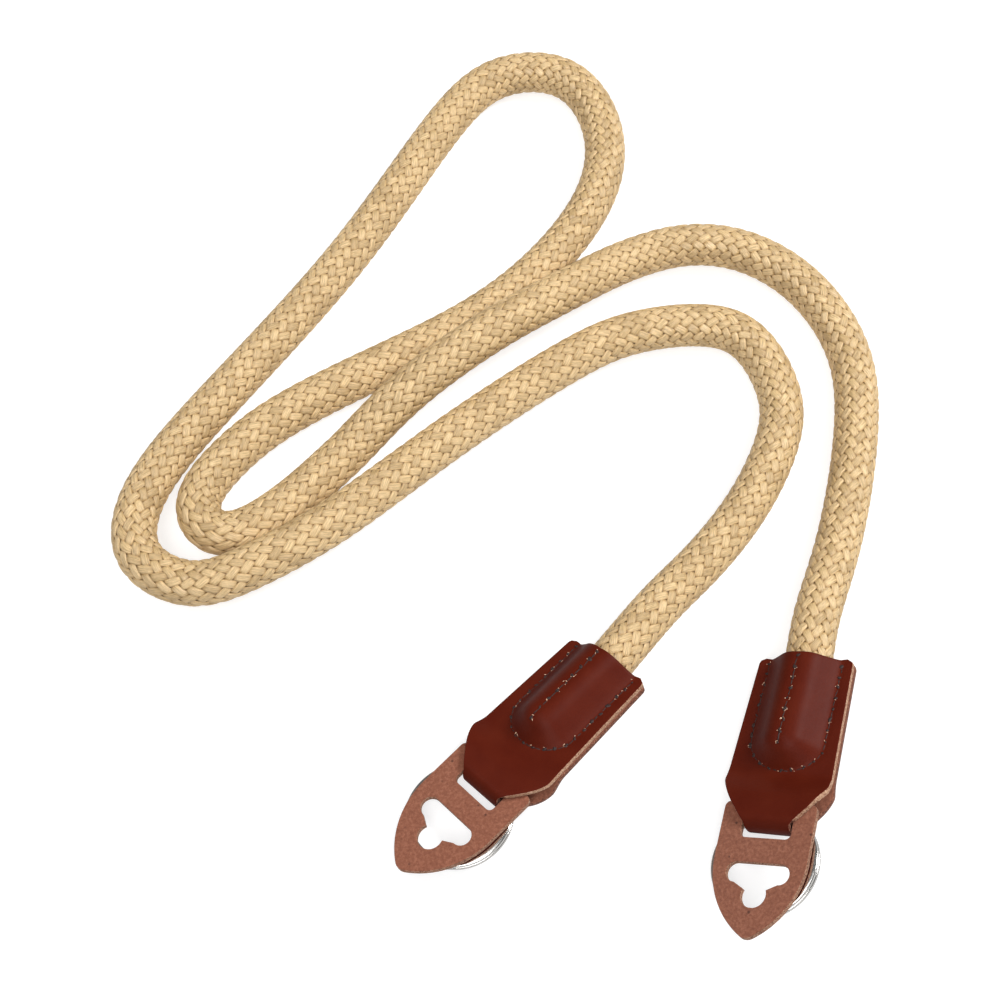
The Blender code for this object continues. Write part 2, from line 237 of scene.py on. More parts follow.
# How unevenly it is sewn, each as (least, most): turns in radians, the knots' and flecks' sizes and the
# shifts in millimetres, counts below their most, and the rest as shares
STITCH_TURN = (-0.2, 0.2)
STITCH_LENGTH = (0.5, 0.95)
STITCH_SHIFT = (-0.1, 0.1)
STITCH_THICKNESS = (0.6, 1.0)
KNOT_COUNT = (1, 4)
KNOT_LENGTH = (0.6, 1.2)
KNOT_SHIFT_ALONG = (-0.3, 0.3)
KNOT_SHIFT_ACROSS = (-0.22, 0.22)
KNOT_THICKNESS = (0.45, 0.8)
FLECK_COUNT = (0, 4)
FLECK_DISTANCE = (0.35, 0.65)
FLECK_LENGTH = (0.3, 0.75)
FLECK_WIDTH = (0.13, 0.22)

# Worn edges
COVER_EDGE_WEAR = 0.16 * MM
COVER_EDGE_ANGLE = math.radians(50)
GUARD_EDGE_WEAR = 0.14 * MM
GUARD_EDGE_ANGLE = 1.0
# How far the guard's cut edge leans to the pale tone rather than the darker painted-shade tone.
GUARD_EDGE_PALENESS = 0.45
RING_EDGE_WEAR = 0.24 * MM
RING_END_GAP = math.radians(4)

# Meshes
PATH_STEPS = 1500
CORE_POINTS = 500
CORE_BEVEL_RESOLUTION = 6
FLOAT_STEPS = 8
FLOAT_ACROSS = 8
COVER_ROWS = 60
FOLD_ROWS = 16
COVER_COLUMNS = 44
SEAM_ARC_POINTS = 80
EDGE_SEGMENTS = 2
CORNER_POINTS = 8
SIDE_POINTS = 26
TIP_END = 172
BAR_POINTS = 16
LOBE_POINTS = 12
LOBE_END = 170
RING_TURN_STEPS = 90
RING_LEAST_STEPS = 8

# The stage. The floor glows so that it shows white, and less where something glossy mirrors it.
FLOOR_HALF_SIZE = 2.0
FLOOR_DROP = 0.2 * MM
FLOOR_GREY = (0.40, 0.40, 0.40, 1.0)
FLOOR_GLOW = 0.72
FLOOR_GLOW_MIRRORED = 0.12
WORLD_STRENGTH = 0.14

# Soft square lights, aimed at the strap: azimuth 0 is on the right and 90 behind; degrees, metres, watts
LIGHTS = {
    "key": {"azimuth": 20, "elevation": 50, "distance": 1.2, "size": 0.4, "watts": 12},
    "front": {"azimuth": -100, "elevation": 60, "distance": 1.5, "size": 1.0, "watts": 15},
    "left": {"azimuth": 165, "elevation": 60, "distance": 1.5, "size": 0.7, "watts": 4},
}


def mix(first, second, share):
    return first + (second - first) * share


def smoothstep(value):
    """0 below 0, 1 above 1, and an S-shaped rise between."""
    value = min(1.0, max(0.0, value))
    return value * value * (3 - 2 * value)


def smooth_max(first, second, blend):
    """The larger of two heights, with a fillet of about the size of blend where they meet."""
    return (first + second + math.hypot(first - second, blend)) / 2


def closed_share(along):
    """0 where the cover's layers lie apart round the guard, and 1 where they lie together."""
    return smoothstep((along - SPINE_STRAIGHT) / (COVER_CLOSED - SPINE_STRAIGHT))


def spine(end, along):
    """The end's frame at a distance along its spine, as in the part's source."""
    x, y, z = end["fold"]
    heading = math.radians(end["heading"])
    pitch = math.radians(end["pitch"])
    share = closed_share(along)
    place = (
        x - ORIGIN[0] + along * math.cos(heading),
        y - ORIGIN[1] + along * math.sin(heading),
        mix(z + min(along, SPINE_STRAIGHT) * math.sin(pitch), ROPE_HEIGHT_IN_COVER, share),
    )
    roll = math.radians(mix(end["fold_roll"], end["cover_roll"], share))
    axes = (
        Matrix.Rotation(heading, 4, "Z")
        @ Matrix.Rotation(-mix(pitch, 0.0, share), 4, "Y")
        @ Matrix.Rotation(-roll, 4, "X")
    )
    return Matrix.Translation(place) @ axes


def mesh_from(bm, name):
    """A mesh of the bmesh's shape, which is then freed."""
    mesh = bpy.data.meshes.new(name)
    bm.to_mesh(mesh)
    bm.free()
    return mesh


def only(kind, geometry):
    """The vertices, edges or faces among what an operator returns."""
    return [item for item in geometry if isinstance(item, kind)]


def add_piece(name, data, *materials):
    piece = bpy.data.objects.new(name, data)
    bpy.context.scene.collection.objects.link(piece)
    for material in materials:
        data.materials.append(material)
    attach(piece, "root")
    return piece


class Nodes:
    """A material's node tree, with one short call for each node."""

    def __init__(self, name):
        self.material = bpy.data.materials.new(name)
        self.material.use_nodes = True
        self.tree = self.material.node_tree
        self.shader = self.tree.nodes["Principled BSDF"]

    def add(self, kind, **values):
        """Adds a node. A value named like one of the node's settings sets it, and the rest are sockets."""
        node = self.tree.nodes.new("ShaderNode" + kind)
        for key, value in values.items():
            if hasattr(node, key):
                setattr(node, key, value)
            else:
                self.put(node, key.replace("_", " "), value)
        return node

    def put(self, node, socket, value):
        """Links or sets a node's socket, given by its name or by the letter i and its number."""
        target = node.inputs[int(socket[1:]) if socket[1:].isdigit() else socket]
        if isinstance(value, bpy.types.NodeSocket):
            self.tree.links.new(value, target)
        else:
            target.default_value = value

    def ramp(self, factor, *stops):
        """A colour ramp from (position, colour) pairs."""
        node = self.add("ValToRGB", Fac=factor)
        elements = node.color_ramp.elements
        while len(elements) < len(stops):
            elements.new(0.5)
        for element, (position, colour) in zip(elements, stops):
            element.position = position
            element.color = (*colour, 1.0)
        return node.outputs["Color"]

    def blend(self, factor, first, second, mode="MIX"):
        """Two colours mixed. The Mix node keeps them in its sockets 6 and 7, and the result in output 2."""
        node = self.add("Mix", data_type="RGBA", blend_type=mode)
        self.put(node, "i0", factor)
        self.put(node, "i6", first)
        self.put(node, "i7", second)
        return node.outputs[2]

    def scale(self, value, low, high):
        """A value from 0 to 1, made to run from low to high."""
        node = self.add("MapRange", To_Min=low, To_Max=high)
        self.put(node, "Value", value)
        return node.outputs[0]

    def bump(self, height, distance, strength=1.0, normal=None):
        node = self.add("Bump", Strength=strength, Distance=distance, Height=height)
        if normal is not None:
            self.put(node, "Normal", normal)
        return node.outputs[0]


def make_braid_yarn():
    """Silky tan yarn. The UV map runs along and across each float, and the depth attribute is 0 where a
    yarn dives under the next and 1 on its crown. The colour follows depth and is darkest where the yarn
    dives under: painted shade for the crevices between the floats."""
    m = Nodes("braid_yarn")
    uv = m.add("UVMap", uv_map="yarn").outputs[0]
    depth = m.add("Attribute", attribute_name="depth").outputs["Fac"]
    shade = m.add("Attribute", attribute_name="shade").outputs["Fac"]
    offset = m.add("CombineXYZ", Z=m.scale(shade, 0.0, 40.0)).outputs[0]
    moved = m.add("VectorMath", operation="ADD", i0=uv, i1=offset).outputs[0]
    along = m.add("Mapping", Vector=moved, Scale=(0.9, 8.0, 1.0)).outputs[0]
    fibres = m.add("TexNoise", Vector=along, Scale=1.0, Detail=5.0, Roughness=0.7).outputs["Fac"]
    # The yarn's tone by depth, from the gap to the crown: painted shade, darkest where a yarn dives under
    # the next.
    gap = (0.20, 0.10, 0.028)
    slope = (0.52, 0.32, 0.13)
    crown = (0.73, 0.52, 0.262)
    darker_yarn = (0.42, 0.27, 0.11, 1.0)
    yarn_tone_with_painted_shade = m.ramp(depth, (0.0, gap), (0.35, slope), (0.9, crown))
    toned = m.blend(m.scale(shade, 0.0, 0.6), yarn_tone_with_painted_shade, darker_yarn)
    shadow = (0.48, 0.42, 0.34)
    even = (0.96, 0.95, 0.93)
    shine = (1.36, 1.4, 1.46)
    streaks = m.ramp(fibres, (0.32, shadow), (0.5, even), (0.68, shine))
    m.put(m.shader, "Base Color", m.blend(0.9, toned, streaks, "MULTIPLY"))
    m.put(m.shader, "Roughness", m.scale(fibres, 0.42, 0.30))
    m.put(m.shader, "Normal", m.bump(fibres, 0.0003, 0.8))
    m.put(m.shader, "Specular IOR Level", 0.9)
    m.put(m.shader, "Anisotropic", 0.8)
    m.put(m.shader, "Anisotropic Rotation", 0.25)
    m.put(m.shader, "Tangent", m.add("Tangent", direction_type="UV_MAP", uv_map="yarn").outputs[0])
    return m.material


def make_shaded_braid_core():
    """The ground between the floats, dark brown as painted shade for the crevices where the yarns dive
    under.
    """
    m = Nodes("braid_core")
    grain = m.add("TexNoise", Scale=900.0, Detail=2.0)
    m.put(grain, "Vector", m.add("TexCoord").outputs["Object"])
    # Dark browns: painted shade in the gaps between the floats.
    tone = m.ramp(grain.outputs["Fac"], (0.3, (0.15, 0.08, 0.025)), (0.7, (0.25, 0.145, 0.05)))
    m.put(m.shader, "Base Color", tone)
    m.put(m.shader, "Roughness", 0.8)
    m.put(m.shader, "Normal", m.bump(grain.outputs["Fac"], 0.0001))
    return m.material


def rope_route():
    """The rope's route points, from inside cover a to inside cover b."""
    inside = [COVER_LENGTH - ROPE_IN_COVER * (1 - share) for share in ROPE_IN_COVER_SHARES]
    start = [spine(ENDS["a"], along).translation for along in inside]
    free = [
        Vector((x * MM - ORIGIN[0], y * MM - ORIGIN[1], ROPE_HEIGHT + lift * MM))
        for x, y, lift in ROUTE
    ]
    finish = [spine(ENDS["b"], along).translation for along in reversed(inside)]
    return start + free + finish


def smooth_through(points, count):
    """count points on the natural cubic spline through the given ones."""
    points = np.array([tuple(p) for p in points])
    chords = np.sqrt(np.linalg.norm(np.diff(points, axis=0), axis=1))
    knots = np.concatenate([[0], np.cumsum(chords)])
    size = len(points)
    system = np.eye(size)
    right = np.zeros((size, 3))
    for i in range(1, size - 1):
        system[i, i - 1 : i + 2] = (chords[i - 1], 2 * (chords[i - 1] + chords[i]), chords[i])
        after = (points[i + 1] - points[i]) / chords[i]
        before = (points[i] - points[i - 1]) / chords[i - 1]
        right[i] = 6 * (after - before)
    bends = np.linalg.solve(system, right)
    at = np.linspace(0, knots[-1], count)
    i = np.clip(np.searchsorted(knots, at, side="right") - 1, 0, size - 2)
    h = chords[i][:, None]
    t = (at - knots[i])[:, None]
    slope = (points[i + 1] - points[i]) / h - h * (2 * bends[i] + bends[i + 1]) / 6
    return points[i] + t * (slope + t * (bends[i] / 2 + t * (bends[i + 1] - bends[i]) / (6 * h)))


class RopePath:
    """The rope's centreline, with a frame at each point that doesn't twist about the rope."""

    def __init__(self):
        self.points = smooth_through(rope_route(), PATH_STEPS)
        self.points[:, 2] = np.maximum(self.points[:, 2], ROPE_HEIGHT)
        steps = np.diff(self.points, axis=0)
        self.run = np.concatenate([[0], np.cumsum(np.linalg.norm(steps, axis=1))])
        headings = np.gradient(self.points, self.run, axis=0)
        self.headings = headings / np.linalg.norm(headings, axis=1)[:, None]
        self.sides = np.zeros_like(self.points)
        side = np.cross(self.headings[0], (0, 0, 1))
        for i, heading in enumerate(self.headings):
            side = side - heading * (side @ heading)
            side = side / np.linalg.norm(side)
            self.sides[i] = side
        self.ups = np.cross(self.sides, self.headings)

    def at(self, distance, table):
        return np.stack([np.interp(distance, self.run, table[:, k]) for k in range(3)], axis=-1)

    def bend(self, points):
        """Points of a straight rope along +X, with Z up, carried to the route."""
        place = self.at(points[:, 0], self.points)
        side = self.at(points[:, 0], self.sides)
        up = self.at(points[:, 0], self.ups)
        return place + side * points[:, 1:2] + up * points[:, 2:3]


def float_height(across, along):
    """A float's height over its ends, for positions from -1 to 1: a flat crown lengthways, square
    shoulders sideways and a ridge for each of its yarns."""
    crown = (1 - abs(along) ** CROWN_POWER) ** CROWN_END_POWER
    ridge = abs(math.cos(across * FLOAT_YARNS * math.pi / 2))
    drop = SIDE_DROP * across**SIDE_POWER
    return crown * (1 - CROWN_ROUND * across**2) + YARN_RIDGE * ridge * crown - drop


def make_float(bm):
    """One float on the straight rope's crown line, heading along +X, as a grid wrapped on the rope."""
    half_turn = math.pi * FLOAT_RADIUS / BRAID_COLUMNS
    lean = math.atan2(half_turn, BRAID_REPEAT / 2)
    made = bmesh.ops.create_grid(bm, x_segments=FLOAT_STEPS, y_segments=FLOAT_ACROSS, size=1.0)
    depth = bm.verts.layers.float["depth"]
    yarn = bm.loops.layers.uv["yarn"]
    for vertex in made["verts"]:
        for loop in vertex.link_loops:
            loop[yarn].uv = (vertex.co.x, vertex.co.y)
    for vertex in made["verts"]:
        along, across = vertex.co.x, vertex.co.y
        height = float_height(across, along)
        vertex[depth] = min(1.0, max(0.0, height))
        x = along * FLOAT_LENGTH / 2
        y = across * FLOAT_WIDTH / 2 * (1 - FLOAT_TAPER * along**2)
        lateral = x * math.sin(lean) + y * math.cos(lean)
        angle = lateral / FLOAT_RADIUS
        radius = FLOAT_RADIUS - FLOAT_TUCK + height * FLOAT_CROWN
        forward = x * math.cos(lean) - y * math.sin(lean)
        vertex.co = (forward, radius * math.sin(angle), radius * math.cos(angle))


def make_braid_repeat():
    """One repeat of the braid: a ring of floats that lean to one side and the other in turn."""
    bm = bmesh.new()
    bm.verts.layers.float.new("depth")
    bm.loops.layers.uv.new("yarn")
    make_float(bm)
    other = bmesh.ops.duplicate(bm, geom=bm.verts[:] + bm.edges[:] + bm.faces[:])["geom"]
    flipped = only(bmesh.types.BMVert, other)
    bmesh.ops.scale(bm, vec=(1, -1, 1), verts=flipped)
    bmesh.ops.reverse_faces(bm, faces=only(bmesh.types.BMFace, other))
    turn = Matrix.Rotation(2 * math.pi / BRAID_COLUMNS, 3, "X")
    bmesh.ops.rotate(bm, verts=flipped, matrix=turn)
    bmesh.ops.translate(bm, verts=flipped, vec=(BRAID_REPEAT / 2, 0, 0))
    pair = bm.verts[:] + bm.edges[:] + bm.faces[:]
    for i in range(1, BRAID_COLUMNS // 2):
        copy = only(bmesh.types.BMVert, bmesh.ops.duplicate(bm, geom=pair)["geom"])
        bmesh.ops.rotate(bm, verts=copy, matrix=Matrix.Rotation(4 * math.pi * i / BRAID_COLUMNS, 3, "X"))
    return mesh_from(bm, "braid_repeat")


def make_braid_piece(name, path, start, repeats, material):
    """A stretch of the braid, as a row of repeats bent along the rope's path, each float in a shade of
    its own."""
    mesh = make_braid_repeat()
    piece = add_piece(name, mesh, material)
    row = piece.modifiers.new("row", "ARRAY")
    row.use_relative_offset = False
    row.use_constant_offset = True
    row.constant_offset_displace = (BRAID_REPEAT, 0, 0)
    row.count = repeats
    bpy.context.view_layer.update()
    graph = bpy.context.evaluated_depsgraph_get()
    whole = bpy.data.meshes.new_from_object(piece.evaluated_get(graph))
    piece.modifiers.clear()
    piece.data = whole
    whole.name = name
    bpy.data.meshes.remove(mesh)
    points = np.empty(len(whole.vertices) * 3)
    whole.vertices.foreach_get("co", points)
    points = points.reshape(-1, 3)
    points[:, 0] += start
    tone = whole.attributes.new("shade", "FLOAT", "POINT")
    each = (FLOAT_STEPS + 1) * (FLOAT_ACROSS + 1)
    floats = len(points) // each
    dice = np.random.default_rng(round(start * 1e5) + BRAID_SEED)
    shades = dice.random(floats) ** 2
    tone.data.foreach_set("value", np.repeat(shades, each).astype(np.float32))
    whole.vertices.foreach_set("co", path.bend(points).ravel())
    whole.shade_smooth()
    whole.update()
    return piece


def make_rope(path):
    """The core that shows between the yarns, and the braid over it in a few pieces."""
    core = bpy.data.curves.new("rope_core", "CURVE")
    core.dimensions = "3D"
    core.bevel_depth = CORE_RADIUS
    core.bevel_resolution = CORE_BEVEL_RESOLUTION
    core.use_fill_caps = True
    points = path.at(np.linspace(0, path.run[-1], CORE_POINTS), path.points)
    spline = core.splines.new("POLY")
    spline.points.add(len(points) - 1)
    for point, place in zip(spline.points, points):
        point.co = (*place, 1)
    rope = add_piece("rope_core", core, make_shaded_braid_core())
    yarn = make_braid_yarn()
    repeats = int(path.run[-1] / BRAID_REPEAT / BRAID_PIECES)
    braid = []
    for i in range(BRAID_PIECES):
        start = (i * repeats + BRAID_FIRST_REPEAT) * BRAID_REPEAT
        braid.append(make_braid_piece(f"braid_{i + 1}", path, start, repeats, yarn))
    for piece in [rope] + braid:
        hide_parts("rope")


def make_grain_side():
    """Smooth dark leather, with fine pores and a slight mottle."""
    m = Nodes("leather")
    place = m.add("TexCoord").outputs["Object"]
    mottle = m.add("TexNoise", Vector=place, Scale=160.0, Detail=3.0).outputs["Fac"]
    pores = m.add("TexVoronoi", Vector=place, Scale=2600.0, feature="SMOOTH_F1").outputs["Distance"]
    creases = m.add("TexNoise", Vector=place, Scale=900.0, Detail=5.0, Roughness=0.65).outputs["Fac"]
    tone = m.ramp(mottle, (0.3, (0.078, 0.0085, 0.0032)), (0.7, (0.092, 0.0112, 0.0042)))
    m.put(m.shader, "Base Color", tone)
    m.put(m.shader, "Roughness", m.scale(creases, 0.40, 0.50))
    fine = m.bump(pores, 0.00005, 0.3)
    m.put(m.shader, "Normal", m.bump(creases, 0.00009, 0.35, fine))
    m.put(m.shader, "Specular IOR Level", 0.07)
    return m.material


def make_flesh_side():
    """The leather's rough underside: reddish tan, napped, with dark pits."""
    m = Nodes("flesh_side")
    place = m.add("TexCoord").outputs["Object"]
    nap = m.add("TexNoise", Vector=place, Scale=1500.0, Detail=4.0, Roughness=0.7).outputs["Fac"]
    patches = m.add("TexNoise", Vector=place, Scale=210.0, Detail=3.0).outputs["Fac"]
    pits = m.add("TexVoronoi", Vector=place, Scale=330.0, Randomness=1.0).outputs["Distance"]
    hollow = (0.155, 0.045, 0.021)
    middle = (0.235, 0.078, 0.040)
    tuft = (0.34, 0.135, 0.078)
    tone = m.ramp(nap, (0.3, hollow), (0.5, middle), (0.7, tuft))
    patched = m.blend(m.scale(patches, 0.0, 0.5), tone, (0.19, 0.056, 0.026, 1.0))
    pitted = m.ramp(pits, (0.06, (0.25, 0.2, 0.18)), (0.13, (1.0, 1.0, 1.0)))
    m.put(m.shader, "Base Color", m.blend(0.8, patched, pitted, "MULTIPLY"))
    m.put(m.shader, "Roughness", 0.9)
    m.put(m.shader, "Sheen Weight", 0.2)
    m.put(m.shader, "Normal", m.bump(nap, 0.00022, 0.7))
    return m.material


def make_cut_edge():
    """The leather's cut edge: fibrous and speckled, pale tan where the front attribute is 1, and darker and
    redder where it is 0, which is painted shade on the back layer's edge below the front one."""
    m = Nodes("cut_edge")
    place = m.add("TexCoord").outputs["Object"]
    front = m.add("Attribute", attribute_name="front").outputs["Fac"]
    fibres = m.add("TexNoise", Vector=place, Scale=2600.0, Detail=3.0, Roughness=0.7).outputs["Fac"]
    lit_edge_stops = (0.36, (0.16, 0.05, 0.025)), (0.5, (0.40, 0.215, 0.125)), (0.66, (0.60, 0.41, 0.28))
    shaded_edge_stops = (0.38, (0.05, 0.012, 0.006)), (0.55, (0.19, 0.062, 0.032)), (0.72, (0.42, 0.21, 0.13))
    lit_edge = m.ramp(fibres, *lit_edge_stops)
    shaded_edge = m.ramp(fibres, *shaded_edge_stops)
    m.put(m.shader, "Base Color", m.blend(front, shaded_edge, lit_edge))
    m.put(m.shader, "Roughness", 0.85)
    m.put(m.shader, "Normal", m.bump(fibres, 0.0002, 0.7))
    return m.material


def make_thread():
    """Nearly black red-brown thread."""
    m = Nodes("thread")
    place = m.add("TexCoord").outputs["Object"]
    twist = m.add("TexNoise", Vector=place, Scale=3000.0, Detail=2.0).outputs["Fac"]
    m.put(m.shader, "Base Color", m.ramp(twist, (0.35, (0.008, 0.003, 0.002)), (0.7, (0.04, 0.009, 0.006))))
    m.put(m.shader, "Roughness", 0.6)
    m.put(m.shader, "Normal", m.bump(twist, 0.0001, 0.8))
    return m.material


def make_torn_leather():
    """The pale flecks that the needle has pulled up at the stitches."""
    m = Nodes("torn_leather")
    m.put(m.shader, "Base Color", (0.62, 0.40, 0.27, 1.0))
    m.put(m.shader, "Roughness", 0.8)
    return m.material


def make_nickel():
    """Bright plating, a little duller where it has rubbed."""
    m = Nodes("nickel")
    place = m.add("TexCoord").outputs["Object"]
    wear = m.add("TexNoise", Vector=place, Scale=700.0, Detail=4.0).outputs["Fac"]
    m.put(m.shader, "Base Color", (0.80, 0.78, 0.75, 1.0))
    m.put(m.shader, "Metallic", 1.0)
    m.put(m.shader, "Roughness", m.scale(wear, 0.08, 0.22))
    return m.material


def cover_half_width(run):
    """Half the strip's width, at a run along the leather from the fold's middle. It stays narrow through
    the guard's slot, flares to the shoulders, and tapers to the mouth's round corners."""
    neck = COVER_NECK_WIDTH / 2
    shoulder = COVER_SHOULDER_WIDTH / 2
    flare = (run - COVER_NECK_LENGTH) / (COVER_SHOULDER - COVER_NECK_LENGTH)
    width = mix(shoulder, neck, (1 - min(1.0, max(0.0, flare))) ** COVER_FLARE)
    taper = max(0.0, run - COVER_SHOULDER) / (MOUTH_RUN - COVER_SHOULDER)
    width = mix(width, COVER_MOUTH_WIDTH / 2, taper)
    into_corner = max(0.0, run - (MOUTH_RUN - COVER_CORNER))
    return width - COVER_CORNER + math.sqrt(max(0.0, COVER_CORNER**2 - into_corner**2))


def mouth_reach(along, side):
    """How far the leather runs ahead of its middle, for a side from -1 at the right edge to 1 at the
    left. The mouth's edge is hollow and slants, and both fade out towards the tunnel's start."""
    share = max(0.0, along - TUNNEL_START) / (COVER_LENGTH - TUNNEL_START)
    return share * (COVER_MOUTH_DIP * side**2 - COVER_MOUTH_SLANT * side)


def tunnel_height(along, across):
    """How far the leather's inner face stands off the middle plane over the rope. The tunnel's section
    is the same along its length, and turned about its start for the round dome."""
    radius = ROPE_DIAMETER / 2 + CLEARANCE
    reach = TUNNEL_WIDTH / 2
    slant = math.asin(radius / reach)
    into_dome = max(0.0, TUNNEL_START - along) * reach / TUNNEL_DOME
    off = math.hypot(into_dome, across)
    if off < radius * math.sin(slant):
        return math.sqrt(radius**2 - off**2)
    return radius * math.cos(slant) - (off - radius * math.sin(slant)) * math.tan(slant)


def seam_sink(along, across):
    """How far the sewing pulls the leather in near its rows."""
    arc_centre = SEAM_BOTTOM + SEAM_ARC_LENGTH
    if along > arc_centre:
        off_u = abs(abs(across) - SEAM_WIDTH / 2)
    else:
        place = math.hypot((along - arc_centre) / SEAM_ARC_LENGTH, across / (SEAM_WIDTH / 2))
        off_u = abs(place - 1) * SEAM_WIDTH / 2
    off_middle = abs(across) + max(0.0, MIDDLE_SEAM_END - along)
    nearest = min(off_u, off_middle)
    return SEAM_SINK * math.exp(-((nearest / SEAM_SINK_WIDTH) ** 2))


def layer_offset(along, across):
    """How far the middle of either leather layer lies from the middle plane."""
    gap = mix(FOLD_GAP / 2, CLEARANCE / 2, closed_share(along))
    height = smooth_max(tunnel_height(along, across), gap, TUNNEL_FILLET)
    return height + LEATHER / 2 - seam_sink(along, across)


def cover_point(end, along, across, side):
    """A point in the middle of the front layer, side 1, or of the back layer, side -1."""
    half = cover_half_width(FOLD_RUN + along - FOLD_CENTRE)
    frame = spine(end, along + mouth_reach(along, across / half))
    point = frame @ Vector((0, across, side * layer_offset(along, across)))
    point.z = max(point.z, LEATHER / 2)
    return point


def cover_stations():
    """Each row of the strip as (distance along the spine, run along the leather, side, fold angle)."""
    alongs = [mix(COVER_LENGTH, FOLD_CENTRE, i / COVER_ROWS) for i in range(COVER_ROWS + 1)]
    front = [(along, FOLD_RUN + along - FOLD_CENTRE, 1, None) for along in alongs]
    back = [(along, run, -1, None) for along, run, _, _ in reversed(front)]
    fold = []
    for i in range(1, FOLD_ROWS):
        angle = math.pi * i / FOLD_ROWS
        along = FOLD_CENTRE - FOLD_DEPTH * math.sin(angle)
        fold.append((along, FOLD_RUN * abs(1 - 2 * i / FOLD_ROWS), 0, angle))
    return front + fold + back


def make_cover(letter, end, grain, flesh, edge):
    """One leather strip folded in half round the rope's end. It starts as a flat grid whose rows are
    laid along the fold, and gets its thickness, its pale edges and their rounding from modifiers."""
    stations = cover_stations()
    last = len(stations) - 1
    flat = layer_offset(FOLD_CENTRE, COVER_NECK_WIDTH / 2)
    bm = bmesh.new()
    bmesh.ops.create_grid(bm, x_segments=last, y_segments=COVER_COLUMNS, size=1.0)
    front = bm.verts.layers.float.new("front")
    for vertex in bm.verts:
        along, run, side, angle = stations[round((vertex.co.x + 1) / 2 * last)]
        # The back layer's cut edge takes the darker, redder tone: painted shade under the front layer.
        vertex[front] = 1.0 if side == 1 else 0.0
        across = vertex.co.y * cover_half_width(run)
        if angle is None:
            vertex.co = cover_point(end, along, across, side)
        else:
            vertex.co = spine(end, along) @ Vector((0, across, flat * math.cos(angle)))
    bmesh.ops.reverse_faces(bm, faces=bm.faces[:])
    name = f"cover_{letter}_leather"
    mesh = mesh_from(bm, name)
    mesh.shade_smooth()
    piece = add_piece(name, mesh, grain, flesh, edge)
    wall = piece.modifiers.new("leather", "SOLIDIFY")
    wall.thickness = LEATHER
    wall.offset = 0.0
    wall.material_offset = 1
    wall.material_offset_rim = 2
    rounding = piece.modifiers.new("worn_edge", "BEVEL")
    rounding.width = COVER_EDGE_WEAR
    rounding.segments = EDGE_SEGMENTS
    rounding.limit_method = "ANGLE"
    rounding.angle_limit = COVER_EDGE_ANGLE
    rounding.use_clamp_overlap = True
    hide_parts(f"cover_{letter}")


def u_seam():
    """Points of the U-shaped row, as (along, across), one stitch apart."""
    arc_centre = SEAM_BOTTOM + SEAM_ARC_LENGTH
    half = SEAM_WIDTH / 2
    line = [(SEAM_START, half)]
    for i in range(SEAM_ARC_POINTS + 1):
        angle = math.pi * i / SEAM_ARC_POINTS
        line.append((arc_centre - SEAM_ARC_LENGTH * math.sin(angle), half * math.cos(angle)))
    line.append((SEAM_START, -half))
    return spaced(line)


def middle_seam():
    return spaced([(SEAM_START, 0.0), (MIDDLE_SEAM_END, 0.0)])


def spaced(line):
    """Points about one stitch apart along a line."""
    line = np.array(line)
    run = np.concatenate([[0], np.cumsum(np.linalg.norm(np.diff(line, axis=0), axis=1))])
    wanted = np.linspace(0, run[-1], round(run[-1] / STITCH_PITCH) + 1)
    return [(float(np.interp(w, run, line[:, 0])), float(np.interp(w, run, line[:, 1]))) for w in wanted]


def skin_frame(end, along, across, side):
    """A frame on the cover's outer face: X along the cover, Z out of the leather."""
    step = 0.2 * MM
    here = cover_point(end, along, across, side)
    ahead = (cover_point(end, along + step, across, side) - here).normalized()
    left = (cover_point(end, along, across + step, side) - here).normalized()
    out = ahead.cross(left).normalized() * side
    left = out.cross(ahead).normalized()
    axes = Matrix((ahead, left, out)).transposed().to_4x4()
    return Matrix.Translation(here + out * LEATHER / 2) @ axes


def add_blob(bm, place, size, material):
    """A small round or stretched blob, at a place given as a matrix."""
    stretched = place @ Matrix.Diagonal((*size, 1))
    made = bmesh.ops.create_icosphere(bm, subdivisions=2, radius=0.5, matrix=stretched)
    for face in {f for v in made["verts"] for f in v.link_faces}:
        face.material_index = material
        face.smooth = True


